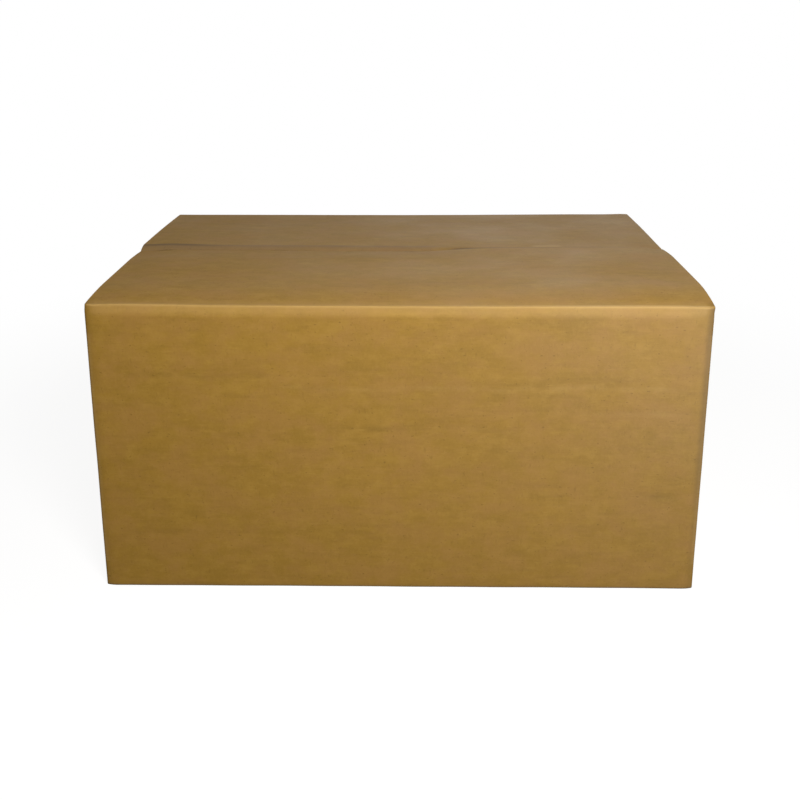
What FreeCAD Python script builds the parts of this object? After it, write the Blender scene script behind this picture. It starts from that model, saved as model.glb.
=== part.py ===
"""A closed shipping carton: one blank of corrugated board, cut, scored, folded and glued.

Frame: +X to the right, +Y to the back, +Z up. The origin is on the floor, under the middle of the carton.
Everything is in millimetres.
"""

import FreeCAD, Part
import math
import os
from FreeCAD import Vector

# Outside of the closed carton, the height to the fold lines of its top flaps
length = 600.0
depth = 400.0
height = 300.0

# The board, and the outside radius of every scored fold
board = 5.0
fold_radius = 7.0

# The cuts in the blank
flap_slot = 5.0
meeting_gap = 1.0
inner_flap_play = 3.0
lap_width = 35.0
lap_slant_deg = 15.0

# Clearances of the two top flaps that open
hinge_gap = 0.3
lying_gap = 0.3

# The bow of the front top flap, from its fold: a crown, then a free margin that dips.
# Each rise is above the fold line, at the left and the right end of the flap.
crown_start = 42.0
margin_width = 38.0
crown_rise = (5.6, 7.0)
front_edge_rise = (3.0, 3.8)
bend_radius = 260.0

# The rear top flap slopes up to its free edge
rear_edge_rise = (6.2, 4.6)

# Two lengths closer than this are the same
tolerance = 1e-6

half_length = length / 2
half_depth = depth / 2
flap_reach = half_depth - meeting_gap / 2
outer_flap_end = half_length - flap_slot / 2
inner_flap_end = half_depth - board - inner_flap_play
inner_floor = board
inner_top = height - board - lying_gap
side_low = inner_floor + fold_radius
side_high = inner_top - fold_radius


def rounded_run(points, radius):
    """Straight runs between the points, with a tangent arc at each corner on the way."""
    edges = []
    start = points[0]
    for before, corner, after in zip(points, points[1:], points[2:]):
        back = (before - corner).normalize()
        ahead = (after - corner).normalize()
        half_corner = back.getAngle(ahead) / 2
        reach = radius / math.tan(half_corner)
        arc_start = corner + back * reach
        arc_end = corner + ahead * reach
        centre_distance = radius / math.sin(half_corner)
        arc_middle = corner + (back + ahead).normalize() * (centre_distance - radius)
        if start.distanceToPoint(arc_start) > tolerance:
            edges.append(Part.makeLine(start, arc_start))
        edges.append(Part.Arc(arc_start, arc_middle, arc_end).toShape())
        start = arc_end
    if start.distanceToPoint(points[-1]) > tolerance:
        edges.append(Part.makeLine(start, points[-1]))
    return edges


def inner_line(points, normal):
    """The line one board thickness inside a line of points, on its left seen against the normal."""
    sides = [normal.cross((b - a).normalize()) for a, b in zip(points, points[1:])]
    offsets = [sides[0]]
    for before, after in zip(sides, sides[1:]):
        offsets.append((before + after) * (1 / (1 + before.dot(after))))
    offsets.append(sides[-1])
    return [point + offset * board for point, offset in zip(points, offsets)]


def folded_sheet(outer, width):
    """Board folded along the scores at the corners of its outer face, and as wide as the width vector."""
    inner = inner_line(outer, Vector(width).normalize())
    edges = rounded_run(outer, fold_radius) + rounded_run(inner, fold_radius - board)
    edges.append(Part.makeLine(outer[0], inner[0]))
    edges.append(Part.makeLine(outer[-1], inner[-1]))
    section = Part.Wire(Part.__sortEdges__(edges))
    return Part.Face(section).extrude(width)


def carton_outline():
    """The block that the folded walls fit in. Its rear left corner is square, because the panel is cut there."""
    corners = [
        Vector(-half_length, half_depth, 0),
        Vector(half_length, half_depth, 0),
        Vector(half_length, -half_depth, 0),
        Vector(-half_length, -half_depth, 0),
        Vector(-half_length, half_depth, 0),
    ]
    return Part.Face(Part.Wire(rounded_run(corners, fold_radius))).extrude(Vector(0, 0, height))


def long_side(side):
    """A long wall with its outer bottom flap and the fold of its top flap. Side is -1 in front and 1 at the back."""
    x = side * -outer_flap_end
    outer = [
        Vector(x, side * meeting_gap / 2, 0),
        Vector(x, side * half_depth, 0),
        Vector(x, side * half_depth, height),
        Vector(x, side * (half_depth - fold_radius), height),
    ]
    sheet = folded_sheet(outer, Vector(side * 2 * outer_flap_end, 0, 0))
    return sheet.common(carton_outline())


def end_side(side):
    """An end wall with its inner bottom flap and inner top flap. Side is -1 at the left and 1 at the right.

    The left one is narrower at the back by one board, where the glue lap turns in behind the rear wall.
    """
    front = -inner_flap_end
    back = inner_flap_end - (board if side < 0 else 0)
    first_y, last_y = (front, back) if side < 0 else (back, front)
    free_x = side * (half_length - flap_reach)
    outer = [
        Vector(free_x, first_y, inner_floor),
        Vector(side * half_length, first_y, inner_floor),
        Vector(side * half_length, first_y, inner_top),
        Vector(free_x, first_y, inner_top),
    ]
    return folded_sheet(outer, Vector(0, last_y - first_y, 0))


def wall_ring():
    """The four walls round their upright folds, from the cut end of the rear wall to the middle of the left one."""
    outer = [
        Vector(-outer_flap_end, half_depth, side_high),
        Vector(half_length, half_depth, side_high),
        Vector(half_length, -half_depth, side_high),
        Vector(-half_length, -half_depth, side_high),
        Vector(-half_length, 0, side_high),
    ]
    return folded_sheet(outer, Vector(0, 0, side_low - side_high))


def glue_lap():
    """The rest of the left wall, and the lap that it carries inside the rear wall, slanted at both ends."""
    lap_y = half_depth - board
    root_x = -half_length + fold_radius
    tip_x = -half_length + lap_width
    outer = [
        Vector(-half_length, 0, side_high),
        Vector(-half_length, lap_y, side_high),
        Vector(tip_x, lap_y, side_high),
    ]
    lap = folded_sheet(outer, Vector(0, 0, side_low - side_high))
    slant = math.tan(math.radians(lap_slant_deg)) * (tip_x - root_x)
    for end, step in ((side_high, -slant), (side_low, slant)):
        wedge = Part.makePolygon(
            [
                Vector(root_x, lap_y, end),
                Vector(tip_x, lap_y, end),
                Vector(tip_x, lap_y, end + step),
                Vector(root_x, lap_y, end),
            ]
        )
        lap = lap.cut(Part.Face(wedge).extrude(Vector(0, -board, 0)))
    return lap


def make_carton():
    """Walls, glue lap, glued bottom flaps and inner top flaps: one folded and glued sheet."""
    pieces = [long_side(1), end_side(-1), end_side(1), wall_ring(), glue_lap()]
    return long_side(-1).fuse(pieces).removeSplitter()


def bowed_section(x, side, stations):
    """The closed section of an opening flap at one end. Stations are distances from its fold, each with a rise."""
    top = [Vector(x, side * (half_depth - reach), height + rise) for reach, rise in stations]
    under = [point - Vector(0, 0, board) for point in top]
    edges = rounded_run(top, bend_radius) + rounded_run(under, bend_radius)
    edges.append(Part.makeLine(top[0], under[0]))
    edges.append(Part.makeLine(top[-1], under[-1]))
    return Part.Wire(Part.__sortEdges__(edges))


def bowed_flap(side, sections):
    """A flap that opens, ruled between its left and its right section."""
    wires = []
    for x, stations in zip((-outer_flap_end, outer_flap_end), sections):
        wires.append(bowed_section(x, side, stations))
    return Part.makeLoft(wires, True, True)


def make_front_flap():
    """The front top flap: it rises from its fold to a crown, and its free margin dips to the middle seam."""
    root = fold_radius + hinge_gap
    sections = []
    for crown, edge in zip(crown_rise, front_edge_rise):
        sections.append([(root, 0), (crown_start, crown), (flap_reach - margin_width, crown), (flap_reach, edge)])
    return bowed_flap(-1, sections)


def make_rear_flap():
    """The rear top flap: it slopes up from its fold, and its free edge stands proud of the front one."""
    root = fold_radius + hinge_gap
    return bowed_flap(1, [[(root, 0), (flap_reach, edge)] for edge in rear_edge_rise])


def main():
    """Write one file for each node, named after it."""
    os.makedirs("parts", exist_ok=True)
    nodes = {
        "carton": make_carton(),
        "front_flap": make_front_flap(),
        "rear_flap": make_rear_flap(),
    }
    for name, shape in nodes.items():
        box = shape.BoundBox
        print(name, "solids", len(shape.Solids), "valid", shape.isValid(), "volume", round(shape.Volume))
        print("  from", round(box.XMin, 2), round(box.YMin, 2), round(box.ZMin, 2), end=" ")
        print("to", round(box.XMax, 2), round(box.YMax, 2), round(box.ZMax, 2))
        shape.exportStep("parts/" + name + ".step")


main()
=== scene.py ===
import math
from collections import namedtuple

import bmesh
import bpy
import numpy as np
from mathutils import Euler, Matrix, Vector


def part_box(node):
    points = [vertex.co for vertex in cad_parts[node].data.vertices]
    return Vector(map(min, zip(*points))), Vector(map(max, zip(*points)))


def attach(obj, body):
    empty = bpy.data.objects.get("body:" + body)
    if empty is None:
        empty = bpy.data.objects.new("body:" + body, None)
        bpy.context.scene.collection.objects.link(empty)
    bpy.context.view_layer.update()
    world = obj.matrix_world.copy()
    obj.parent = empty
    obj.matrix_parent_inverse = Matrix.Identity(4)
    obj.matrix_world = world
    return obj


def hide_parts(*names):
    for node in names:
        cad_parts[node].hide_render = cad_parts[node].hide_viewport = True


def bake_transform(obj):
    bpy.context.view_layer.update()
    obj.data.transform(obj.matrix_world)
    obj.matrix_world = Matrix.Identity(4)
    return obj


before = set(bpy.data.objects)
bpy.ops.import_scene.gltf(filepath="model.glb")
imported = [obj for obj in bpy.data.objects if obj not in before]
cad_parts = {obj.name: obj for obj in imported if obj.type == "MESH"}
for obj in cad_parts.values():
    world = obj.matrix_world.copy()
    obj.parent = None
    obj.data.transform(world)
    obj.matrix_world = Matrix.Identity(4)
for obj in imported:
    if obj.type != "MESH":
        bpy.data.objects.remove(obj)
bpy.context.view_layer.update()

# Sizes are in millimetres here, and meshes are made in metres
MM = 0.001
carton_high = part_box("carton")[1]
flap_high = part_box("front_flap")[1]
HALF_LENGTH = carton_high[0] / MM
HALF_DEPTH = carton_high[1] / MM
FOLD_LEVEL = carton_high[2] / MM
FLAP_END = flap_high[0] / MM
FLAP_REACH = HALF_DEPTH + flap_high[1] / MM

# The board: its thickness, its paper liners and the wavy sheet between them
BOARD = 5.0
LINER = 0.42
FLUTE_PITCH = 8.4
FLUTE_SHEET = 0.3
FLUTE_SAMPLES = 12

# Behind a cut across the flutes: how far in the wavy sheet and the ends of its hollows lie
FLUTE_RECESS = 0.35
CUT_DEPTH = 1.8

# Behind a cut along a flute: how far in the flute's slope lies at the outer and at the inner liner
SLOPE_OUTER = 1.3
SLOPE_INNER = 4.2

# The paper lies this far inside the solid's faces, and waves up to this much further in
FACE_INSET = 0.12
FACE_WAVES = 0.8

# The waves of a board: each one's span and heading, and how the phases differ by board and by wave
WAVES = ((310, 0.4), (190, 2.1), (120, 1.2), (74, 2.7))
SEED_PHASE = 1.7
WAVE_PHASE = 2.3

# The cuts in the blank, and the gap between an inner flap and the outer one on it
INNER_FLAP_PLAY = 3.0
INNER_FLAP_END = HALF_DEPTH - BOARD - INNER_FLAP_PLAY
LAP_WIDTH = 35.0
LAP_TIP = -HALF_LENGTH + LAP_WIDTH
LAP_SLANT = math.tan(math.radians(15))
LYING_GAP = 0.3
INNER_LEVEL = FOLD_LEVEL - BOARD - LYING_GAP
FLOOR_LEVEL = BOARD
SLOT_DEPTH = 7.0

# A scored fold: the board leans over softly beside the score, and turns sharply on it
SCORE_RADIUS = 3.0
CORNER_LEAN_DEG = 15.0
CORNER_LEAN_RUN = 10.0

# Beside an upright fold the inner face is filled in: where, how deep and over what run
INNER_CREASE = 6.2
INNER_FILL = 1.2
INNER_FILL_RUN = 8.0

# The lean before a fold is only this share of itself at an upright fold, and whole after this run
LEAN_AT_CORNER = 0.15
LEAN_EASE_RUN = 34.0

# Strips this wide carry the folds, and the walls lie between them. From this far below a flap's board on, the
# wall's inner face ends at the filled corners
STRIP_WIDTH = 28.0
JOIN_HIGH = FOLD_LEVEL - STRIP_WIDTH
JOIN_LOW = STRIP_WIDTH
BELOW_FLAP = 2.0

# Rows of points: on a wall, of which its inside has one in four, in a strip, and in a patch at a slot's end
WALL_ROWS = 97
INSIDE_EVERY = 4
STRIP_WALL_ROWS = 4
LEAN_ROWS = 14
TURN_ROWS = 13
MARGIN_ROWS = 24
PATCH_ROWS = 8
FINE_MARGIN = 26.0

# Columns of points: how far apart on a long and on an end wall, how many round an upright fold, and how near
# a column counts as on a line
LONG_SPACING = 3.5
END_SPACING = 4.0
CORNER_COLUMNS = 12
NEAR = 0.01

# How far into a flap its wall's dents and the weaker lean at the corners still show
DENT_FADE = 16.0
LEAN_FADE = 30.0

# A fold that lies off its level carries the wall along down to this depth, and loses this share over its flap
LINE_FADE = 24.0
LINE_LOSS = 0.6
LINE_LOSS_START = 60.0
LINE_LOSS_RUN = 120.0

# Half widths of the worn paper on a fold and on an upright fold
FOLD_WEAR = 1.5
CORNER_WEAR = 3.0

# The ends of an outer top flap spread sideways over this run. The middle seam drifts this far to the back,
# from this place on and over this run
SPREAD_RUN = 14.0
SEAM_DRIFT = 4.0
DRIFT_START = 10.0
DRIFT_RUN = 170.0

# The front top flap is crowned, and its free margin dips to the seam, by a share straight and else curved.
# Soft steps here and below run along a flap: each has its start, its run, below 0 leftwards, and its change.
# A span has its first and last place, and how far it fades in and out
CROWN_LEFT = 4.3
CROWN_RIGHT = 6.95
CROWN_STEPS = ((-252, -44, -1.7),)
CROWN_STRAIGHT = 14.0
CROWN_RUN = 56.0
CROWN_WAVES = 0.35
MARGIN = 41.0
MARGIN_SHARE = 0.55
DIP = 2.1
DIP_STEPS = ((-190, 180, 1.7), (20, 80, -3.7), (268, 26, 3.0))

# The rear top flap slopes up in a bow to a free edge that rolls down
REAR_EDGE_LEFT = 6.4
REAR_EDGE_RIGHT = 4.0
REAR_EDGE_STEPS = ((60, 60, -1.2), (-262, -34, -1.3), (262, 30, -0.9))
REAR_WAVES = 0.25
BOW = 0.9
BOW_STEPS = ((60, 60, -0.4),)
ROLLED_EDGE = 3.3
ROLLED_STEPS = ((20, 100, -0.75), (-262, -34, 0.4))
ROLLED_MORE = 0.25
ROLLED_MORE_SPAN = (-130, 40, 50, 40)
ROLLED_REACH = 12.0
ROLLED_REACH_STEPS = ((-200, -80, 5.0),)

# The outer top folds off their level
FRONT_LINE_STEPS = ((-150, -140, 1.2),)
FRONT_LINE_SAG = 0.4
FRONT_LINE_SPAN = (-190, 300, 120, 160)
REAR_LINE_STEPS = ((-20, 300, 1.6),)

# Materials of a piece: the outer paper, the inner paper and the cut edges. Each has its own part of the
# noise, and a cut edge takes its place in it from a slanted look at its points
OUTER, INNER, CUT = 0, 1, 2
MATERIAL_APART = 60
EDGE_SLANT = (0.83, 0.37)

# Points nearer than this are one, shorter edges than this go, and edges sharper than this stay sharp
MERGE = 0.03
COLLAPSE = 0.002
SHARP_DEG = 40


def smooth(t):
    """0 before 0, 1 after 1, and a soft step between."""
    t = np.clip(t, 0, 1)
    return t * t * (3 - 2 * t)


def between(first, last, share):
    return first + (last - first) * share


def bell(x, middle, width):
    """1 at the middle, and soon 0 further than the width from it."""
    return np.exp(-(((x - middle) / width) ** 2))


def window(x, first, last, fade_in, fade_out):
    """1 between two places and 0 outside them, with a soft step inside each."""
    return smooth((x - first) / fade_in) * smooth((last - x) / fade_out)


def stepped(x, level, steps):
    """A level that changes in soft steps."""
    for start, run, change in steps:
        level = level + change * smooth((x - start) / run)
    return level


def waves(u, v, seed):
    """Gentle unevenness of a board, from 0 to 1, over spans of a hand or so."""
    total = 0
    for k, (span, turn) in enumerate(WAVES):
        heading = turn + seed
        phase = seed * SEED_PHASE + k * WAVE_PHASE
        total = total + np.sin((u * math.cos(heading) + v * math.sin(heading)) * 2 * math.pi / span + phase)
    return 0.5 + total / (2 * len(WAVES))


def walk(knots, step=0.1):
    """A path from headings in degrees, each reached after its length: distances along it, and points."""
    distances = np.cumsum([length for length, heading in knots])
    headings = [heading for length, heading in knots]
    at = np.linspace(0, distances[-1], int(distances[-1] / step) + 2)
    heading = np.radians(np.interp(at, distances, headings))
    middle = (heading[1:] + heading[:-1]) / 2
    steps = np.stack([np.cos(middle), np.sin(middle)], -1) * np.diff(at)[:, None]
    return at, np.vstack([[0, 0], np.cumsum(steps, 0)])


# The corner between two walls, as distances in from both wall planes
corner_turn = math.radians(90 - 2 * CORNER_LEAN_DEG)
corner_path = walk(
    [
        (0, 0),
        (CORNER_LEAN_RUN, CORNER_LEAN_DEG),
        (SCORE_RADIUS * corner_turn, 90 - CORNER_LEAN_DEG),
        (CORNER_LEAN_RUN, 90),
    ]
)[1]
CORNER_SPAN = corner_path[-1, 0]
corner_near = (CORNER_SPAN - corner_path[:, 0])[::-1]
corner_inset_at = corner_path[:, 1][::-1]
CORNER_MIDDLE = float(np.interp(0, corner_near - corner_inset_at, corner_near))
SLOT_REACH = HALF_DEPTH - INNER_FLAP_END


def corner_inset(distance):
    """How far a wall's face lies behind its plane, at a distance from the next wall's plane."""
    return np.interp(distance, corner_near, corner_inset_at)


class Panel:
    """One wall: its plane, the direction along it, its ends, and which ends turn a corner.

    Start is where it begins on the flat blank, and the seed sets its waves apart from the next one's.
    """

    def __init__(self, middle, along, low, high, corners, start, seed):
        self.middle = np.array(middle, float)
        self.along = np.array(along, float)
        self.inward = np.array([self.along[1], -self.along[0]])
        self.low = low
        self.high = high
        self.corners = corners
        self.start = start
        self.seed = seed

    def gaps(self, u):
        """Distances from the planes of the walls at both ends. Where there is no wall, it is a metre."""
        far = np.full(np.shape(u), 1e3)
        low = u - self.low if self.corners[0] else far
        high = self.high - u if self.corners[1] else far
        return low, high

    def corner_gap(self, u):
        """The distance from the middle of the nearer upright fold."""
        return np.minimum(*self.gaps(u)) - CORNER_MIDDLE

    def inset(self, u):
        low, high = self.gaps(u)
        return corner_inset(low) + corner_inset(high)

    def crease(self, u):
        """How far the inner face fills in beside an upright fold."""
        nearest = np.minimum(*self.gaps(u))
        share = np.clip(1 - (nearest - INNER_CREASE) / INNER_FILL_RUN, 0, 1)
        return INNER_FILL * share * share

    def inner_u(self, u):
        """The place on the inner face that belongs to one on the outer face."""
        low = self.low + (INNER_CREASE if self.corners[0] else 0)
        high = self.high - (INNER_CREASE if self.corners[1] else 0)
        return np.clip(u, low, high)

    def lean_ease(self, u):
        """The lean before a fold fades towards the ends of a wall."""
        return between(LEAN_AT_CORNER, 1.0, smooth(self.corner_gap(u) / LEAN_EASE_RUN))

    def place(self, u, inward, z):
        """Points from places along the wall, distances inward and heights."""
        u, inward, z = np.broadcast_arrays(u, inward, z)
        flat = self.middle + u[..., None] * self.along + inward[..., None] * self.inward
        return np.concatenate([flat, z[..., None]], -1)

    def relief(self, u, z):
        """How far the wall's face is dented in."""
        return FACE_INSET + FACE_WAVES * waves(u, z, self.seed)

    def paint(self, u, z):
        """How pale or dark the wall is painted: painted shade below 0, painted highlight above."""
        return 0 * (u + z)

    def columns(self, spacing, extra=()):
        """Places of the columns of points, closer together round an upright fold."""
        first = self.low
        last = self.high
        fine = np.unique(np.append(np.linspace(CORNER_MIDDLE, CORNER_SPAN, CORNER_COLUMNS), SLOT_REACH))
        parts = [np.array(extra, float)]
        if self.corners[0]:
            parts.append(first + fine)
            first += CORNER_SPAN
        if self.corners[1]:
            parts.append(last - fine)
            last -= CORNER_SPAN
        parts.append(np.linspace(first, last, int((last - first) / spacing) + 1))
        return np.unique(np.round(np.concatenate(parts), 4))


# Faint lines where the front wall was pressed. They run from first to last x, and drift up and down
# The tint of each line is painted shade below 0 and painted highlight above 0
Crease = namedtuple("Crease", "first last height depth width drift tint")
FRONT_CREASES = (
    Crease(-275, -118, 229.5, 0.20, 3.0, 0.8, -0.20),
    Crease(-125, 120, 217.0, 0.12, 2.6, 1.2, 0.12),
    Crease(90, 285, 218.5, 0.16, 2.8, 0.9, 0.16),
    Crease(190, 290, 193.0, 0.14, 2.8, 0.7, 0.12),
    Crease(-60, 130, 176.5, 0.14, 3.2, 1.4, -0.12),
    Crease(-122, -62, 149.0, 0.16, 3.0, 0.6, -0.22),
    Crease(214, 291, 104.5, 0.16, 2.8, 0.9, -0.20),
    Crease(-290, -200, 60.0, 0.10, 4.0, 1.2, -0.10),
)
DENT_ENDS = 14
TINT_ENDS = 30

# Each wanders in a slow and a fast wave, and its tint comes and goes in waves. Lengths are for one radian
SLOW_WANDER = 23
FAST_WANDER = 9.1
FAST_DRIFT = 0.6
TINT_WAVES = (7.3, 17.9)
TINT_MEAN = 0.55
TINT_SWING = 0.45

# Strengths of the painted light at the front wall's edges: painted shade in a band at the left, and in
# another at the right that is stronger higher up, and a painted highlight under the top fold
LEFT_BAND = 0.75
LEFT_BAND_WIDTH = 3.4
RIGHT_BAND_LOW = 0.14
RIGHT_BAND_HIGH = 0.5
RIGHT_BAND_CLIMB = 200
RIGHT_BAND_WIDTH = 11
RIGHT_BAND_FADE = 7
TOP_HIGHLIGHT = 0.2


class FrontPanel(Panel):
    """The front wall, with its pressed lines and its painted shade and highlight. Its places run leftwards,
    so x is -u.
    """

    def pressed(self, u, z, ends):
        """The pressed lines, each with how much it shows at a point. Ends is the run over which it begins."""
        x = -u
        for crease in FRONT_CREASES:
            slow = crease.drift * np.sin(x / SLOW_WANDER)
            line = crease.height + slow + FAST_DRIFT * np.sin(x / FAST_WANDER)
            yield crease, window(x, crease.first, crease.last, ends, ends) * bell(z, line, crease.width)

    def relief(self, u, z):
        dent = super().relief(u, z)
        for crease, shown in self.pressed(u, z, DENT_ENDS):
            dent = dent + crease.depth * shown
        return dent

    def paint(self, u, z):
        """Broken painted shade and highlight on the pressed lines, painted shade at both ends, painted
        highlight under the top fold.
        """
        x = -u
        tint = super().paint(u, z)
        for crease, shown in self.pressed(u, z, TINT_ENDS):
            swing = np.sin(x / TINT_WAVES[0] + crease.height) * np.sin(x / TINT_WAVES[1])
            broken = TINT_MEAN + TINT_SWING * swing
            tint = tint + crease.tint * broken * shown
        left_band = LEFT_BAND * bell(x, -HALF_LENGTH, LEFT_BAND_WIDTH)
        right_band = between(RIGHT_BAND_LOW, RIGHT_BAND_HIGH, smooth(z / RIGHT_BAND_CLIMB))
        right_band = right_band * smooth((x - HALF_LENGTH + RIGHT_BAND_WIDTH) / RIGHT_BAND_FADE)
        under_fold = smooth((z - FOLD_LEVEL + 12) / 8)
        highlight = TOP_HIGHLIGHT * under_fold * window(x, 4 - HALF_LENGTH, HALF_LENGTH - 2, 8, 6)
        return tint - left_band - right_band + highlight


rear_wall = Panel((0, HALF_DEPTH), (1, 0), -FLAP_END, HALF_LENGTH, (False, True), 300, 1)
right_wall = Panel((HALF_LENGTH, 0), (0, -1), -HALF_DEPTH, HALF_DEPTH, (True, True), 800, 2)
front_wall = FrontPanel((0, -HALF_DEPTH), (-1, 0), -HALF_LENGTH, HALF_LENGTH, (True, True), 1300, 3)
left_wall = Panel((-HALF_LENGTH, 0), (0, 1), -HALF_DEPTH, HALF_DEPTH - BOARD, (True, True), 1800, 4)
glue_lap = Panel((0, HALF_DEPTH - BOARD), (1, 0), -HALF_LENGTH, LAP_TIP, (True, False), 2295, 5)


class Shell:
    """Collects grids of points, in millimetres, and makes one mesh of them.

    Each point keeps its place on the flat blank, how worn its paper is, a tint of painted shade and highlight
    and of one real scuff, and its share of painted sheen.
    """

    def __init__(self):
        self.points = []
        self.sheet = []
        self.layers = {"wear": [], "tint": [], "painted_sheen": []}
        self.faces = []
        self.slots = []
        self.count = 0

    def grid(self, points, slot, sheet=None, wear=0.0, tint=0.0, painted_sheen=0.0):
        """Add a grid of points. Without a place on the blank it gets the one of a cut edge."""
        rows, columns = points.shape[:2]
        if sheet is None:
            x, y, z = points[..., 0], points[..., 1], points[..., 2]
            sheet = (x + y * EDGE_SLANT[0], z + y * EDGE_SLANT[1])
        blank = np.zeros((rows, columns, 3))
        blank[..., 0] = sheet[0]
        blank[..., 1] = sheet[1]
        blank[..., 2] = slot * MATERIAL_APART
        index = np.arange(rows * columns).reshape(rows, columns) + self.count
        quads = np.stack([index[:-1, :-1], index[:-1, 1:], index[1:, 1:], index[1:, :-1]], -1)
        self.points.append(points.reshape(-1, 3))
        self.sheet.append(blank.reshape(-1, 3))
        for layer, values in (("wear", wear), ("tint", tint), ("painted_sheen", painted_sheen)):
            self.layers[layer].append(np.broadcast_to(values, (rows, columns)).reshape(-1))
        self.faces.append(quads.reshape(-1, 4))
        self.slots.append(np.full(quads.shape[0] * quads.shape[1], slot))
        self.count += rows * columns

    def make(self, name, body, materials):
        """One object of all the grids, joined where they meet in the same material."""
        mesh = bpy.data.meshes.new(name)
        mesh.from_pydata((np.vstack(self.points) * MM).tolist(), [], np.vstack(self.faces).tolist())
        mesh.polygons.foreach_set("material_index", np.concatenate(self.slots).astype(np.int32))
        sheet = mesh.attributes.new("sheet", "FLOAT_VECTOR", "POINT")
        sheet.data.foreach_set("vector", (np.vstack(self.sheet) * MM).astype(np.float32).ravel())
        for layer, values in self.layers.items():
            attribute = mesh.attributes.new(layer, "FLOAT", "POINT")
            attribute.data.foreach_set("value", np.concatenate(values).astype(np.float32))
        for material in materials:
            mesh.materials.append(material)
        shape = bmesh.new()
        shape.from_mesh(mesh)
        for material_slot in (OUTER, INNER, CUT):
            loose = [vertex for vertex in shape.verts if vertex.link_faces[0].material_index == material_slot]
            bmesh.ops.remove_doubles(shape, verts=loose, dist=MERGE * MM)
        bmesh.ops.dissolve_degenerate(shape, edges=shape.edges, dist=COLLAPSE * MM)
        bmesh.ops.recalc_face_normals(shape, faces=shape.faces)
        shape.to_mesh(mesh)
        shape.free()
        mesh.shade_smooth()
        mesh.set_sharp_from_angle(angle=math.radians(SHARP_DEG))
        piece = bpy.data.objects.new(name, mesh)
        bpy.context.scene.collection.objects.link(piece)
        if body:
            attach(piece, body)
        return piece


def line_points(line, samples):
    """Points at even steps along a line of points, and the line's length."""
    lengths = np.concatenate([[0], np.cumsum(np.linalg.norm(np.diff(line, axis=0), axis=1))])
    at = np.linspace(0, lengths[-1], samples)
    return np.stack([np.interp(at, lengths, line[:, k]) for k in range(3)], -1), lengths[-1]


def cut_across(shell, outer, inner, inward):
    """A cut edge across the flutes: two liners, and the wavy sheet between them."""
    length = np.linalg.norm(np.diff(outer, axis=0), axis=1).sum()
    samples = max(4, int(round(length / FLUTE_PITCH * FLUTE_SAMPLES)) + 1)
    outer, length = line_points(outer, samples)
    inner = line_points(inner, samples)[0]
    across = inner - outer
    thick = np.linalg.norm(across, axis=1, keepdims=True)
    unit = across / thick
    phase = np.linspace(0, length / FLUTE_PITCH * 2 * math.pi, samples)[:, None]
    swing = (thick - 2 * LINER - FLUTE_SHEET) / 2
    centre = thick / 2 + swing * np.sin(phase)
    deep = inward * CUT_DEPTH
    recess = inward * FLUTE_RECESS
    under_outer = outer + unit * LINER
    under_inner = inner - unit * LINER
    shell.grid(np.stack([outer, under_outer, under_outer + deep]), CUT)
    shell.grid(np.stack([inner, under_inner, under_inner + deep]), CUT)
    upper = outer + unit * (centre - FLUTE_SHEET / 2)
    lower = outer + unit * (centre + FLUTE_SHEET / 2)
    shell.grid(np.stack([upper + deep, upper + recess, lower + recess, lower + deep]), CUT)
    shell.grid(np.stack([under_outer + deep, under_inner + deep]), CUT)


def cut_along(shell, outer, inner, inward):
    """A cut edge along a flute: two liners, and the slope of one flute behind them."""
    across = inner - outer
    unit = across / np.linalg.norm(across, axis=1, keepdims=True)
    first = outer + unit * LINER
    last = inner - unit * LINER
    slope = [first + inward * SLOPE_OUTER, last + inward * SLOPE_INNER]
    shell.grid(np.stack([outer, first, *slope, last, inner]), CUT)


class Fold:
    """The outside of a scored fold: distances inward from the wall plane, and depths below its flap's level.

    The board leans in over a run, stays so for the flat, and then turns by the radius.
    """

    def __init__(self, lean_deg, lean_run, lean_flat, radius):
        steep = 90 - lean_deg
        knots = [(0, 90), (lean_run, steep), (lean_flat, steep), (radius * math.radians(steep), 0)]
        self.at, line = walk(knots)
        self.inward = line[:, 0]
        self.down = line[-1, 1] - line[:, 1]
        self.turn = lean_run + lean_flat
        self.radius = radius
        self.lean_in = float(np.interp(self.turn, self.at, self.inward))
        self.root = float(self.inward[-1])

    def lean(self, down):
        """How far the wall's face leans in, at a depth below the flap's level."""
        return np.interp(down, self.down[::-1], np.minimum(self.inward, self.lean_in)[::-1], right=0)


# The two ends of the walls. Up is 1 at the top and -1 at the bottom, join is where the strips start, and the
# levels are the heights of the folds' outsides
End = namedtuple("End", "up join fold outer_level inner_level")
top_fold = Fold(lean_deg=20.0, lean_run=6.5, lean_flat=5.5, radius=1.4)
bottom_fold = Fold(lean_deg=4.0, lean_run=6.0, lean_flat=1.0, radius=1.8)
TOP = End(1, JOIN_HIGH, top_fold, FOLD_LEVEL, INNER_LEVEL)
BOTTOM = End(-1, JOIN_LOW, bottom_fold, 0.0, FLOOR_LEVEL)
ROOT = TOP.fold.root

# A flap. Rise gives its height over its fold at a place and a distance from the wall plane, line gives the
# height of the fold itself over its level, and paint its tints of painted shade and highlight and its share
# of painted sheen. Spread moves the ends outward, and drift makes the flap longer towards the right
Flap = namedtuple("Flap", "rise line paint spread drift spacing", defaults=((0.0, 0.0), 0.0, 2.5))


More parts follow.
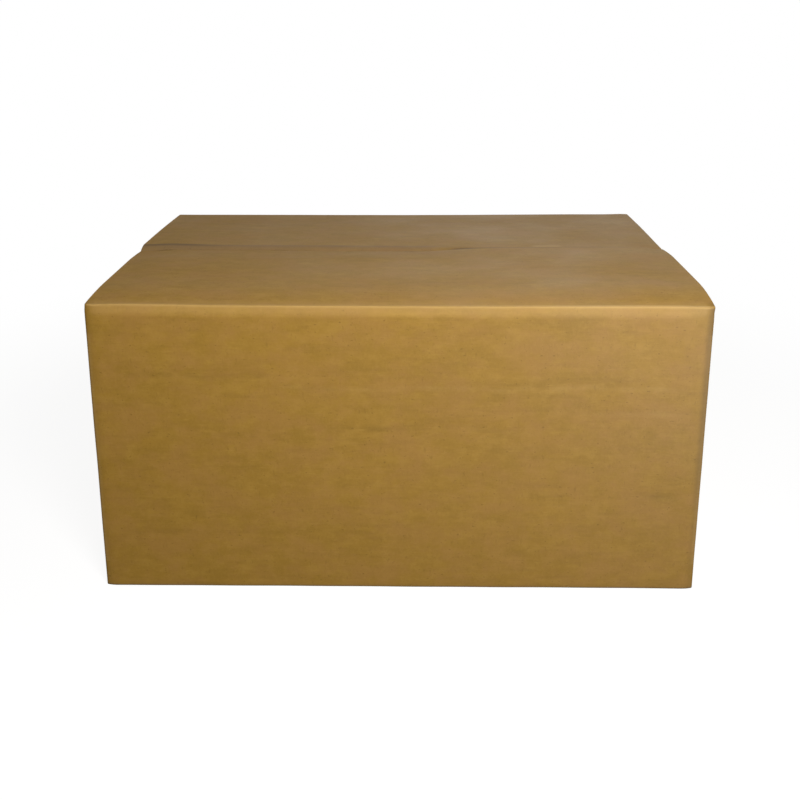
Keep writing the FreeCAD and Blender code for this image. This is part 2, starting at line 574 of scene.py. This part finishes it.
def strip_rows(fold, join_down, margin, spacing):
    """Rows from a wall to a free edge: distances inward from the wall plane, and depths below the level."""
    leaning = np.linspace(0, fold.turn, LEAN_ROWS, endpoint=False)
    fold_at = np.concatenate([leaning, np.linspace(fold.turn, fold.at[-1], TURN_ROWS)])
    fold_in = np.interp(fold_at, fold.at, fold.inward)
    fold_down = np.interp(fold_at, fold.at, fold.down)
    wall_down = np.linspace(join_down, fold_down[0], STRIP_WALL_ROWS, endpoint=False)
    fine_from = FLAP_REACH - margin
    flap_in = np.linspace(fold.root, fine_from, int((fine_from - fold.root) / spacing) + 2)[1:]
    if margin:
        flap_in = np.concatenate([flap_in, np.linspace(fine_from, FLAP_REACH, MARGIN_ROWS)[1:]])
    inward = np.concatenate([np.zeros(STRIP_WALL_ROWS), fold_in, flap_in])
    down = np.concatenate([wall_down, fold_down, np.zeros(len(flap_in))])
    return inward[:, None], down[:, None]


def strip(shell, panel, columns, end, level, flap):
    """The board from a wall over its fold to the free edge of its flap.

    Columns are places along the wall, and level is the height of the fold's outside.
    """
    fold = end.fold
    join_down = abs(level - end.join)
    margin = FINE_MARGIN if any(flap.spread) else 0
    inward, down = strip_rows(fold, join_down, margin, flap.spacing)
    u = columns[None, :]
    wall_z = level - end.up * down
    past_lean = inward - fold.lean_in
    past_root = inward - fold.root

    # The flap's own height and its fold's line come in, and the wall's shape goes out
    stay = 1 - smooth(past_lean / DENT_FADE)
    lift = flap.rise(u, np.maximum(inward, fold.root)) * smooth(past_lean / (fold.root - fold.lean_in))
    line_lost = LINE_LOSS * smooth((inward - LINE_LOSS_START) / LINE_LOSS_RUN)
    lift = lift + flap.line(u) * smooth(1 - down / LINE_FADE) * (1 - line_lost)
    lean = np.minimum(inward, fold.lean_in)
    missing = (1 - panel.lean_ease(u)) * lean * (1 - smooth(past_lean / LEAN_FADE))
    relief = panel.relief(u, wall_z) * stay
    to_right = smooth((u * panel.along[0] - DRIFT_START) / DRIFT_RUN)
    drifted = flap.drift * to_right * smooth(past_root / (FLAP_REACH - fold.root))
    slot_share = smooth((SLOT_DEPTH - down) / SLOT_DEPTH)
    end_share = smooth(1 - panel.corner_gap(u) / SPREAD_RUN)
    push = slot_share * end_share * np.where(u > 0, flap.spread[1], -flap.spread[0])

    # Both faces of the board
    outer_in = inward + panel.inset(u) * stay + relief - missing + drifted
    outer = panel.place(u + push, outer_in, level - end.up * (down - lift))
    inner_in = np.maximum(inward, BOARD) + relief + panel.crease(u) * stay * (inward < BOARD) + drifted
    inner_down = np.maximum(down, BOARD - lift)
    below_flap = down > BOARD + BELOW_FLAP
    inner_u = u + (panel.inner_u(u) - u) * below_flap + push
    inner = panel.place(inner_u, inner_in, level - end.up * inner_down)

    # The way over the paper, and the wear on the sharp part of the fold
    steps = np.hypot(np.diff(inward[:, 0]), np.diff(down[:, 0]))
    run = np.concatenate([[0], np.cumsum(steps)])[:, None]
    sheet = (panel.start + u, end.join + end.up * run)
    score = join_down - fold.down[0] + fold.turn + fold.radius / 2
    wear = bell(run, score, FOLD_WEAR) + 0 * u
    tint, painted_sheen = flap.paint(u, inward, down)
    shell.grid(outer, OUTER, sheet, wear, panel.paint(u, wall_z) * stay + tint, painted_sheen)
    shell.grid(inner, INNER, sheet)

    # The free edge, and the ends from the bottom of the slots on
    into_board = np.append(panel.inward, 0.0)
    along = np.append(panel.along, 0.0)
    cut_across(shell, outer[-1], inner[-1], -into_board)
    free = np.nonzero(down[:, 0] <= SLOT_DEPTH)[0][0]
    cut_along(shell, outer[free:, 0], inner[free:, 0], along)
    cut_along(shell, outer[free:, -1], inner[free:, -1], -along)


def corner_patch(shell, panel, columns, end, side):
    """The end of a slot: the board round an upright fold, between the strips on both its sides.

    Columns are places on a side panel, from its slot's side to the middle of the fold. Side is -1 at the
    panel's low end and 1 at its high end.
    """
    slot_level = end.outer_level - end.up * SLOT_DEPTH
    rows = np.linspace(end.join, slot_level, PATCH_ROWS)[:, None]
    u = columns[None, :]
    plane = panel.low if side < 0 else panel.high
    gap = np.abs(plane - u)
    share = (gap - CORNER_MIDDLE) / (SLOT_REACH - CORNER_MIDDLE)
    side_lean = end.fold.lean(np.abs(end.inner_level - rows)) * panel.lean_ease(u)
    front_lean = end.fold.lean(np.abs(end.outer_level - rows)) * LEAN_AT_CORNER
    outer_u = plane - side * (gap + front_lean * (1 - share))
    relief = panel.relief(u, rows)
    outer = panel.place(outer_u, corner_inset(gap) + relief + side_lean * share, rows)
    inner = panel.place(panel.inner_u(u) + 0 * rows, BOARD + relief + panel.crease(u), rows)
    sheet = (panel.start + u + 0 * rows, rows + 0 * u)
    wear = bell(gap, CORNER_MIDDLE, CORNER_WEAR) + 0 * rows
    shell.grid(outer, OUTER, sheet, wear, panel.paint(u, rows))
    shell.grid(inner, INNER, sheet)
    cut_across(shell, outer[-1], inner[-1], np.array([0, 0, -end.up], float))


def wall_grid(shell, panel, columns):
    """A wall between the strips that carry its folds, outside and inside."""
    rows = np.linspace(JOIN_LOW, JOIN_HIGH, WALL_ROWS)[:, None]
    u = columns[None, :]
    relief = panel.relief(u, rows)
    wear = bell(panel.corner_gap(u), 0, CORNER_WEAR) + 0 * rows
    sheet = (panel.start + u + 0 * rows, rows + 0 * u)
    shell.grid(panel.place(u, panel.inset(u) + relief, rows), OUTER, sheet, wear, panel.paint(u, rows))
    few = slice(None, None, INSIDE_EVERY)
    inner = panel.place(panel.inner_u(u) + 0 * rows, BOARD + relief + panel.crease(u), rows)
    shell.grid(inner[few], INNER, (sheet[0][few], sheet[1][few]))


# Shapes of the flaps. A rise is read at a place along the wall and a distance inward from the wall plane
def front_rise(u, inward):
    """The front flap climbs from its fold to a crown, lower at its left end, and its free margin dips."""
    x = -u
    share = (x + HALF_LENGTH) / (2 * HALF_LENGTH)
    t = np.clip((inward - ROOT) / CROWN_RUN, 0, 1)
    straight = CROWN_STRAIGHT / CROWN_RUN
    bent = np.maximum(t - straight, 0)
    climb = (t - bent * bent / (2 * (1 - straight))) / ((1 + straight) / 2)
    level = between(CROWN_LEFT, CROWN_RIGHT, share) - CROWN_WAVES * waves(x, inward, seed=7)
    crown = stepped(x, level, CROWN_STEPS)
    dip = stepped(x, DIP, DIP_STEPS)
    over_margin = np.clip((inward - FLAP_REACH + MARGIN) / MARGIN, 0, 1)
    return crown * climb - dip * between(over_margin * over_margin, over_margin, MARGIN_SHARE)


def rolled_reach(u):
    """How far from its free edge the rear flap starts to roll down."""
    return stepped(u, ROLLED_REACH, ROLLED_REACH_STEPS)


def rear_rise(u, inward):
    """The rear flap slopes up in a slight bow to an edge that is lower at its ends and rolls down."""
    share = (u + HALF_LENGTH) / (2 * HALF_LENGTH)
    level = between(REAR_EDGE_LEFT, REAR_EDGE_RIGHT, share)
    edge = stepped(u, level, REAR_EDGE_STEPS)
    t = np.clip((inward - ROOT) / (FLAP_REACH - ROOT), 0, 1)
    rolled = np.clip((inward - FLAP_REACH + rolled_reach(u)) / rolled_reach(u), 0, 1) ** 2
    roll = stepped(u, 1, ROLLED_STEPS) + ROLLED_MORE * window(u, *ROLLED_MORE_SPAN)
    bow = stepped(u, BOW, BOW_STEPS)
    uneven = REAR_WAVES * waves(u, inward, seed=9)
    return edge * t + bow * np.sin(t * math.pi) - uneven * t - ROLLED_EDGE * rolled * roll


def sagging(gap, sag, run, seed):
    """The rise of a flap that lies a gap under its level, and sags unevenly from its fold on."""

    def rise(u, inward):
        return -gap - sag * waves(u, inward, seed) * smooth((inward - ROOT) / run)

    return rise


def front_line(u):
    """How far the front fold lies over its level. It climbs at the left end and sags in the middle."""
    x = -u
    return stepped(x, 0, FRONT_LINE_STEPS) - FRONT_LINE_SAG * window(x, *FRONT_LINE_SPAN)


def rear_line(u):
    """The rear fold climbs to the right."""
    return stepped(u, 0, REAR_LINE_STEPS)


def level_line(u):
    return 0 * u


# Marks on the flaps: tints, painted shade below 0 with one real scuff and painted highlight above, and the
# share of painted sheen
def front_paint(u, inward, down):
    """Painted shade on the free edge right of the middle, a small scuff near it, painted highlight on the
    right fold.
    """
    x = -u
    edge = bell(inward, FLAP_REACH, 2.0)
    dark = between(0.9, 0.5, smooth((x - 95) / 25)) * window(x, 48, 290, 20, 60)
    scuff = bell(x, 12, 8) * bell(inward, FLAP_REACH - 3, 2.0)
    highlight = bell(down, 0, 1.2) * bell(inward, ROOT, 1.5) * smooth((x - 40) / 160)
    return 0.6 * highlight - edge * dark - 0.5 * scuff, 0.0


def rear_paint(u, inward, down):
    """At the left painted sheen on the edge and painted shade where it rolls. At the right a painted
    highlight and painted shade on the edge.
    """
    roll_start = FLAP_REACH - rolled_reach(u)
    margin = smooth((inward - roll_start + 1) / 4)
    line = bell(inward, roll_start + 3, 3.4)
    left = between(0.12, 0.62, smooth((-190 - u) / 60)) * smooth((60 - u) / 60)
    patch = window(u, 148, 188, 8, 8) * bell(inward, FLAP_REACH - 12, 6)
    dark = between(0.7, 0.4, smooth((u - 120) / 25)) * window(u, 50, 290, 20, 60)
    shade = bell(inward, FLAP_REACH - 2, 4) * dark
    margin_sheen = 0.42 * margin * smooth((80 - u) / 60)
    return 0.35 * patch - line * left - shade + 0 * down, margin_sheen + 0 * down


def plain_paint(u, inward, down):
    return 0 * (u + inward + down), 0.0


def bottom_paint(u, inward, down):
    """The bottom folds are darkened with painted shade."""
    return -0.9 * bell(down, 0, 2.2) + 0 * (u + inward), 0.0


FRONT_FLAP = Flap(front_rise, front_line, front_paint, (0.6, -0.5), SEAM_DRIFT)
REAR_FLAP = Flap(rear_rise, rear_line, rear_paint, (1.0, 1.0), -SEAM_DRIFT)
TOP_INNER_FLAP = Flap(sagging(0.15, 1.1, 90, seed=11), level_line, plain_paint, spacing=5.0)
BOTTOM_FLAP = Flap(sagging(0.12, 0.5, 60, seed=13), level_line, bottom_paint, spacing=5.0)


# Materials. A Mix node's colour sockets have these numbers
MIX_FIRST, MIX_SECOND, MIX_RESULT = 6, 7, 2

# A wave texture of scale 1 turns this many radians a metre, and a shifted noise moves this way
WAVE_TEXTURE_TURN = 20
NOISE_HEADING = (1.0, 0.7, 0.3)

# How rough and glossy the paper and a cut are, and the share of its worn colour that a worn fold has
PAPER_ROUGHNESS = (0.68, 0.76)
PAPER_GLOSS = 0.25
CUT_ROUGHNESS = 0.92
CUT_GLOSS = 0.2
WORN_SHARE = 0.5

# Heights, in metres, of the flute ridges, the fibres and the grain on a liner, and of the fuzz on a cut
RIDGE_HEIGHT = 0.00002
FIBRE_HEIGHT = 0.00006
GRAIN_HEIGHT = 0.00003
FUZZ_HEIGHT = 0.0002


def add(nodes, kind, **values):
    """A new node with some of its settings."""
    node = nodes.new(kind)
    for name, value in values.items():
        setattr(node, name, value)
    return node


class Finish:
    """A paper finish built up in layers, over the place on the flat blank."""

    def __init__(self, name):
        self.material = bpy.data.materials.new(name)
        self.material.use_nodes = True
        self.nodes = self.material.node_tree.nodes
        self.link = self.material.node_tree.links.new
        self.shader = self.nodes["Principled BSDF"]
        self.place = self.attribute("sheet", "Vector")

    def attribute(self, name, output="Fac"):
        return add(self.nodes, "ShaderNodeAttribute", attribute_name=name).outputs[output]

    def feed(self, socket, value):
        """Give a socket a number, a colour or another node's output."""
        if isinstance(value, (int, float)):
            socket.default_value = value
        elif isinstance(value, tuple):
            socket.default_value = (*value, 1.0)
        else:
            self.link(value, socket)

    def noise(self, along, across, detail, roughness, shift=0.0):
        """Soft noise with its scales along the walls and up them, shifted to differ from the others."""
        place = add(self.nodes, "ShaderNodeMapping")
        self.link(self.place, place.inputs["Vector"])
        place.inputs["Scale"].default_value = (along, across, 1.0)
        place.inputs["Location"].default_value = tuple(shift * part for part in NOISE_HEADING)
        node = add(self.nodes, "ShaderNodeTexNoise")
        self.link(place.outputs["Vector"], node.inputs["Vector"])
        for name, number in (("Scale", 1.0), ("Detail", detail), ("Roughness", roughness)):
            node.inputs[name].default_value = number
        return node.outputs["Fac"]

    def spread(self, value, low, high, to_low=0.0, to_high=1.0):
        node = add(self.nodes, "ShaderNodeMapRange")
        self.link(value, node.inputs["Value"])
        for name, number in (("From Min", low), ("From Max", high), ("To Min", to_low), ("To Max", to_high)):
            node.inputs[name].default_value = number
        return node.outputs["Result"]

    def multiply(self, first, second):
        node = add(self.nodes, "ShaderNodeMath", operation="MULTIPLY")
        self.feed(node.inputs[0], first)
        self.feed(node.inputs[1], second)
        return node.outputs["Value"]

    def mix(self, share, first, second):
        node = add(self.nodes, "ShaderNodeMix", data_type="RGBA")
        for socket, value in (("Factor", share), (MIX_FIRST, first), (MIX_SECOND, second)):
            self.feed(node.inputs[socket], value)
        return node.outputs[MIX_RESULT]

    def flutes(self):
        """Ridges of the flutes that show through the liner, at their real pitch."""
        node = add(self.nodes, "ShaderNodeTexWave", wave_type="BANDS", bands_direction="X")
        self.link(self.place, node.inputs["Vector"])
        node.inputs["Scale"].default_value = 2 * math.pi / (FLUTE_PITCH * MM) / WAVE_TEXTURE_TURN
        return node.outputs["Fac"]

    def bump(self, height, distance, below=None):
        """Small heights in the shading, a distance in metres high, over those below."""
        node = add(self.nodes, "ShaderNodeBump")
        self.link(height, node.inputs["Height"])
        node.inputs["Distance"].default_value = distance
        if below is not None:
            self.link(below, node.inputs["Normal"])
        return node.outputs["Normal"]


# Noises of the paper: their scales along the walls and up them, their detail, roughness and shift
KRAFT_NOISES = {
    "clouds": (11, 16, 2, 0.5, 0),
    "patches": (34, 90, 3, 0.55, 3),
    "shades": (26, 110, 3, 0.6, 5),
    "streaks": (17, 150, 2, 0.5, 29),
    "glints": (70, 360, 2, 0.5, 31),
    "mottles": (72, 92, 3, 0.55, 41),
    "hues": (22, 30, 4, 0.7, 37),
    "fibres": (90, 620, 3, 0.6, 7),
    "grain": (420, 300, 3, 0.65, 11),
    "ticks": (330, 120, 2, 0.5, 13),
    "flecks": (260, 420, 2, 0.5, 17),
    "rubs": (60, 500, 3, 0.6, 23),
}

# Colours made from the paper's own, as multiples of it: a rosier kraft and a grey of painted sheen of the
# base, and a fleck and a dark for painted shade and a scuff of the deep colour
ROSY = (1.03, 0.965, 1.9)
SHEEN_GREY = (0.57, 0.77, 0.6)
FLECK = (0.66, 0.66, 0.66)
SHADE_AND_SCUFF = (0.34, 0.34, 0.6)


def tinted(colour, tint):
    return tuple(part * share for part, share in zip(colour, tint))


def kraft(name, deep, base, pale, worn_and_highlight, flute_tint, fibre_tint, shift=0.0):
    """Brown kraft liner: clouds, fibres lying along the board, specks, flute ridges and pale worn folds.

    The paper runs from the deep to the pale colour, and a worn fold and a painted highlight have their own.
    The tints are how much of the deep colour lies over the flutes and the fibres.
    """
    finish = Finish(name)
    noises = {}
    for noise, (along, across, detail, roughness, own_shift) in KRAFT_NOISES.items():
        noises[noise] = finish.noise(along, across, detail, roughness, shift + own_shift)
    rosy = tinted(base, ROSY)
    fleck = tinted(deep, FLECK)
    colour = finish.mix(finish.spread(noises["clouds"], 0.3, 0.7, 0.45, 1), deep, base)

    # Each layer: its noise, two values of it, the layer's share at both, and its colour
    for noise, low, high, low_share, high_share, layer in (
        ("patches", 0.5, 0.75, 0, 0.35, pale),
        ("shades", 0.5, 0.72, 0, 0.75, deep),
        ("streaks", 0.57, 0.7, 0, 0.65, deep),
        ("glints", 0.66, 0.74, 0, 0.35, pale),
        ("mottles", 0.5, 0.68, 0, 0.36, pale),
        ("mottles", 0.5, 0.32, 0, 0.34, deep),
        ("hues", 0.42, 0.62, 0, 0.55, rosy),
        ("fibres", 0.3, 0.7, fibre_tint, 0, deep),
        ("grain", 0.45, 0.75, 0, 0.25, pale),
        ("ticks", 0.64, 0.78, 0, 0.35, fleck),
        ("flecks", 0.66, 0.74, 0, 0.6, fleck),
    ):
        colour = finish.mix(finish.spread(noises[noise], low, high, low_share, high_share), colour, layer)
    flutes = finish.flutes()
    colour = finish.mix(finish.spread(flutes, 0, 1, flute_tint, 0), colour, deep)

    # The wear of the points, and their tints and grey: painted highlight above 0, painted shade and one real
    # scuff below 0, and painted sheen as grey
    rubbed = finish.spread(noises["rubs"], 0.35, 0.6, 0.6, 1)
    wear = finish.multiply(finish.multiply(finish.attribute("wear"), rubbed), WORN_SHARE)
    tint = finish.attribute("tint")
    sheen_colour = tinted((base[0], base[1], base[1]), SHEEN_GREY)
    colour = finish.mix(wear, colour, worn_and_highlight)
    colour = finish.mix(finish.spread(tint, 0, 1), colour, worn_and_highlight)
    colour = finish.mix(finish.attribute("painted_sheen"), colour, sheen_colour)
    colour = finish.mix(finish.spread(tint, 0, -1), colour, tinted(deep, SHADE_AND_SCUFF))
    finish.link(colour, finish.shader.inputs["Base Color"])
    roughness = finish.spread(noises["clouds"], 0.3, 0.7, *PAPER_ROUGHNESS)
    finish.link(roughness, finish.shader.inputs["Roughness"])
    finish.shader.inputs["Specular IOR Level"].default_value = PAPER_GLOSS
    ridges = finish.bump(flutes, RIDGE_HEIGHT)
    paper = finish.bump(noises["fibres"], FIBRE_HEIGHT, ridges)
    finish.link(finish.bump(noises["grain"], GRAIN_HEIGHT, paper), finish.shader.inputs["Normal"])
    return finish.material


def cut_board():
    """The cut edge: darker, fuzzy paper."""
    finish = Finish("cut_board")
    fuzz = finish.noise(900, 900, 3, 0.65)
    colour = finish.mix(finish.spread(fuzz, 0.3, 0.7), (0.17, 0.105, 0.036), (0.30, 0.19, 0.07))
    finish.link(colour, finish.shader.inputs["Base Color"])
    finish.shader.inputs["Roughness"].default_value = CUT_ROUGHNESS
    finish.shader.inputs["Specular IOR Level"].default_value = CUT_GLOSS
    finish.link(finish.bump(fuzz, FUZZ_HEIGHT), finish.shader.inputs["Normal"])
    return finish.material


board_paper = kraft(
    "kraft_board",
    deep=(0.275, 0.151, 0.017),
    base=(0.345, 0.190, 0.023),
    pale=(0.42, 0.243, 0.042),
    worn_and_highlight=(0.58, 0.37, 0.13),
    flute_tint=0.03,
    fibre_tint=0.22,
)
inner_paper = kraft(
    "kraft_inner",
    deep=(0.26, 0.15, 0.036),
    base=(0.32, 0.187, 0.046),
    pale=(0.39, 0.24, 0.07),
    worn_and_highlight=(0.4, 0.25, 0.08),
    flute_tint=0.22,
    fibre_tint=0.3,
    shift=80,
)
FINISHES = (board_paper, inner_paper, cut_board())

# Columns of points along each wall
rear_columns = rear_wall.columns(LONG_SPACING)
right_columns = right_wall.columns(END_SPACING)
front_columns = front_wall.columns(LONG_SPACING)
left_columns = left_wall.columns(END_SPACING, [INNER_FLAP_END - BOARD])

# The walls
walls = Shell()
wall_grid(walls, rear_wall, rear_columns)
wall_grid(walls, right_wall, right_columns)
wall_grid(walls, front_wall, front_columns)
wall_grid(walls, left_wall, left_columns)

# The rear wall's cut end, in front of which the glue lap lies
wall_rows = np.linspace(JOIN_LOW, JOIN_HIGH, WALL_ROWS)
end_relief = rear_wall.relief(rear_columns[0], wall_rows)
end_outer = rear_wall.place(rear_columns[0], end_relief, wall_rows)
end_inner = rear_wall.place(rear_columns[0], BOARD + end_relief, wall_rows)
cut_along(walls, end_outer, end_inner, np.array([1.0, 0, 0]))

# The glue lap, slanted at both ends, a little off the wall's inner face
LAP_FLAT = -284
LAP_CLEAR = 0.1
lap_turn = glue_lap.low + np.linspace(CORNER_MIDDLE, CORNER_SPAN, 10)
lap_u = np.concatenate([lap_turn, np.linspace(LAP_FLAT, LAP_TIP, 8)])
slant = np.maximum(lap_u - glue_lap.low - INNER_CREASE, 0) * LAP_SLANT
ends = np.linspace(0, 1, 6)[:, None]
lap_low = between(SLOT_DEPTH + slant, JOIN_LOW + 0 * slant, ends)
lap_high = between(JOIN_HIGH + 0 * slant, FOLD_LEVEL - SLOT_DEPTH - slant, ends)
lap_rows = np.vstack([lap_low[:-1], wall_rows[:, None] + 0 * lap_u, lap_high[1:]])
lap_inset = corner_inset(lap_u - glue_lap.low) + FACE_INSET + LAP_CLEAR
lap_inner_in = BOARD + LYING_GAP + glue_lap.crease(lap_u)
lap_outer = glue_lap.place(lap_u[None, :], lap_inset[None, :], lap_rows)
lap_inner = glue_lap.place(glue_lap.inner_u(lap_u)[None, :], lap_inner_in[None, :], lap_rows)
lap_sheet = (glue_lap.start + lap_u + 0 * lap_rows, lap_rows)
walls.grid(lap_outer, OUTER, lap_sheet)
walls.grid(lap_inner, INNER, lap_sheet)
cut_along(walls, lap_outer[:, -1], lap_inner[:, -1], np.array([-1.0, 0, 0]))
cut_across(walls, lap_outer[-1], lap_inner[-1], np.array([0, 0, -1.0]))
cut_across(walls, lap_outer[0], lap_inner[0], np.array([0, 0, 1.0]))
box_walls = walls.make("box_walls", "box", FINISHES)
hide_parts("carton")

# The flaps that stay folded, and the ends of the slots at the corners
for name, end, flap in (("top_inner_flaps", TOP, TOP_INNER_FLAP), ("bottom_flaps", BOTTOM, BOTTOM_FLAP)):
    shell = Shell()
    for panel, columns in ((right_wall, right_columns), (left_wall, left_columns)):
        low_cut = panel.low + SLOT_REACH
        high_cut = panel.high - SLOT_REACH
        middle = columns[(columns > low_cut - NEAR) & (columns < high_cut + NEAR)]
        strip(shell, panel, middle, end, end.inner_level, flap)
        corner_patch(shell, panel, columns[columns < low_cut + NEAR], end, -1)
        corner_patch(shell, panel, columns[columns > high_cut - NEAR], end, 1)
    if end is BOTTOM:
        for panel, columns in ((front_wall, front_columns), (rear_wall, rear_columns)):
            strip(shell, panel, columns, end, end.outer_level, flap)
    shell.make(name, "box", FINISHES)

# The two outer top flaps, each from its wall over its fold to its free edge
for name, panel, columns, flap, node, body, side in (
    ("front_lid_board", front_wall, front_columns, FRONT_FLAP, "front_flap", "front_lid", -1),
    ("rear_lid_board", rear_wall, rear_columns, REAR_FLAP, "rear_flap", "rear_lid", 1),
):
    shell = Shell()
    strip(shell, panel, columns, TOP, TOP.outer_level, flap)
    lid = shell.make(name, None, FINISHES)
    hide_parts(node)
    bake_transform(lid)

# The floor, a wide square
FLOOR_HALF = 30.0
floor_mesh = bpy.data.meshes.new("floor")
floor_corners = [(x * FLOOR_HALF, y * FLOOR_HALF, 0) for x, y in ((-1, -1), (1, -1), (1, 1), (-1, 1))]
floor_mesh.from_pydata(floor_corners, [], [(0, 1, 2, 3)])
floor = bpy.data.objects.new("floor", floor_mesh)
bpy.context.scene.collection.objects.link(floor)

WHITE = (1, 1, 1)


def flat_shader(nodes, kind, colour, strength=None):
    """A shader of one colour, and of a strength where it has one."""
    shader = nodes.new(kind)
    shader.inputs["Color"].default_value = (*colour, 1)
    if strength is not None:
        shader.inputs["Strength"].default_value = strength
    return shader.outputs[0]


def white_to_camera(nodes, link, dim, bright):
    """Join two shaders: the bright one for the camera and for reflections, and the dim one otherwise."""
    path = nodes.new("ShaderNodeLightPath")
    most = path.outputs["Is Camera Ray"]
    for other in ("Is Glossy Ray", "Is Transmission Ray"):
        larger = add(nodes, "ShaderNodeMath", operation="MAXIMUM")
        link(most, larger.inputs[0])
        link(path.outputs[other], larger.inputs[1])
        most = larger.outputs[0]
    return mixed_shader(nodes, link, most, dim, bright)


def mixed_shader(nodes, link, share, first, second):
    """The first shader, and the second one by a share."""
    mixed = nodes.new("ShaderNodeMixShader")
    link(share, mixed.inputs[0])
    link(first, mixed.inputs[1])
    link(second, mixed.inputs[2])
    return mixed.outputs[0]


# The floor throws back little light. The camera sees it pale and with the carton's shadow near the middle,
# and plain white further off. It changes between these distances
FLOOR_WHITE_FROM = 0.5
FLOOR_WHITE_TO = 1.1
floor_material = bpy.data.materials.new("floor")
floor_material.use_nodes = True
floor_nodes = floor_material.node_tree.nodes
floor_link = floor_material.node_tree.links.new
floor_nodes.remove(floor_nodes["Principled BSDF"])
floor_dim = flat_shader(floor_nodes, "ShaderNodeBsdfDiffuse", (0.05, 0.045, 0.035))
floor_lit = flat_shader(floor_nodes, "ShaderNodeBsdfDiffuse", (0.14, 0.14, 0.14))
floor_glow = flat_shader(floor_nodes, "ShaderNodeEmission", WHITE, 0.92)
floor_far = flat_shader(floor_nodes, "ShaderNodeEmission", WHITE, 1.0)
floor_near = add(floor_nodes, "ShaderNodeAddShader")
floor_link(floor_lit, floor_near.inputs[0])
floor_link(floor_glow, floor_near.inputs[1])
floor_place = add(floor_nodes, "ShaderNodeNewGeometry")
floor_distance = add(floor_nodes, "ShaderNodeVectorMath", operation="LENGTH")
floor_link(floor_place.outputs["Position"], floor_distance.inputs[0])
floor_fade = add(floor_nodes, "ShaderNodeMapRange", interpolation_type="SMOOTHSTEP")
floor_link(floor_distance.outputs["Value"], floor_fade.inputs["Value"])
floor_fade.inputs["From Min"].default_value = FLOOR_WHITE_FROM
floor_fade.inputs["From Max"].default_value = FLOOR_WHITE_TO
floor_far_share = floor_fade.outputs["Result"]
floor_seen = mixed_shader(floor_nodes, floor_link, floor_far_share, floor_near.outputs[0], floor_far)
floor_shader = white_to_camera(floor_nodes, floor_link, floor_dim, floor_seen)
floor_link(floor_shader, floor_nodes["Material Output"].inputs["Surface"])
floor_mesh.materials.append(floor_material)

# The room: a dim even light, white where the camera sees it
world = bpy.data.worlds.new("room")
bpy.context.scene.world = world
world.use_nodes = True
world_nodes = world.node_tree.nodes
world_link = world.node_tree.links.new
world_nodes.remove(world_nodes["Background"])
world_dim = flat_shader(world_nodes, "ShaderNodeBackground", (1.0, 0.94, 0.8), 0.085)
world_white = flat_shader(world_nodes, "ShaderNodeBackground", WHITE, 1.0)
world_shader = white_to_camera(world_nodes, world_link, world_dim, world_white)
world_link(world_shader, world_nodes["World Output"].inputs["Surface"])

# Colours of the lamps
WARM_WHITE = (1.0, 0.99, 0.97)
WARMER_WHITE = (1.0, 0.985, 0.95)


def soft_light(name, location, target, size, power, colour=WHITE):
    """A round lamp that the camera doesn't see. It faces its target, and its size is its width in metres."""
    lamp = bpy.data.lights.new(name, "AREA")
    lamp.shape = "DISK"
    lamp.size = size
    lamp.energy = power
    lamp.color = colour
    lit = bpy.data.objects.new(name, lamp)
    bpy.context.scene.collection.objects.link(lit)
    lit.location = location
    lit.rotation_euler = (Vector(target) - Vector(location)).to_track_quat("-Z", "Y").to_euler()
    lit.visible_camera = False
    return lit


soft_light("key", (0.25, -1.02, 0.80), (0.05, -0.15, 0.2), size=0.4, power=13.2, colour=WARM_WHITE)
soft_light("rear_left", (-1.8, 1.2, 0.06), (-0.1, 0.1, 0.1), size=0.3, power=24, colour=WARMER_WHITE)
soft_light("rear_right", (1.8, 1.2, 0.06), (0.1, 0.1, 0.1), size=0.3, power=24, colour=WARMER_WHITE)

# Two soft panes that show only as a sheen on the paper
SHEEN_TARGET = (0.2, -0.1, 0.25)
for name, location, size, power in (
    ("low_sheen", (0.46, -0.62, 0.28), 0.25, 7.2),
    ("rear_sheen", (0.35, 1.5, 1.25), 0.7, 11),
):
    pane = soft_light(name, location, SHEEN_TARGET, size, power)
    pane.visible_diffuse = False

# The camera stands where the photo was taken. Its axis meets the picture above the middle, at this pixel row
SENSOR = 36.0
PICTURE = 800.0
FOCAL_PIXELS = 972.835
VIEW_MIDDLE_Y = 245.53
CAMERA_PLACE = (0.01261, -1.07204, 0.58449)
CAMERA_TURN_DEG = (75.5526, 0.049, 0.70)
lens = bpy.data.cameras.new("camera")
camera = bpy.data.objects.new("camera", lens)
bpy.context.scene.collection.objects.link(camera)
bpy.context.scene.camera = camera
lens.sensor_width = SENSOR
lens.lens = FOCAL_PIXELS * SENSOR / PICTURE
lens.shift_y = (VIEW_MIDDLE_Y - PICTURE / 2) / PICTURE
camera.location = CAMERA_PLACE
camera.rotation_euler = Euler([math.radians(turn) for turn in CAMERA_TURN_DEG], "XYZ")

view = bpy.context.scene.view_settings
view.view_transform = "Standard"
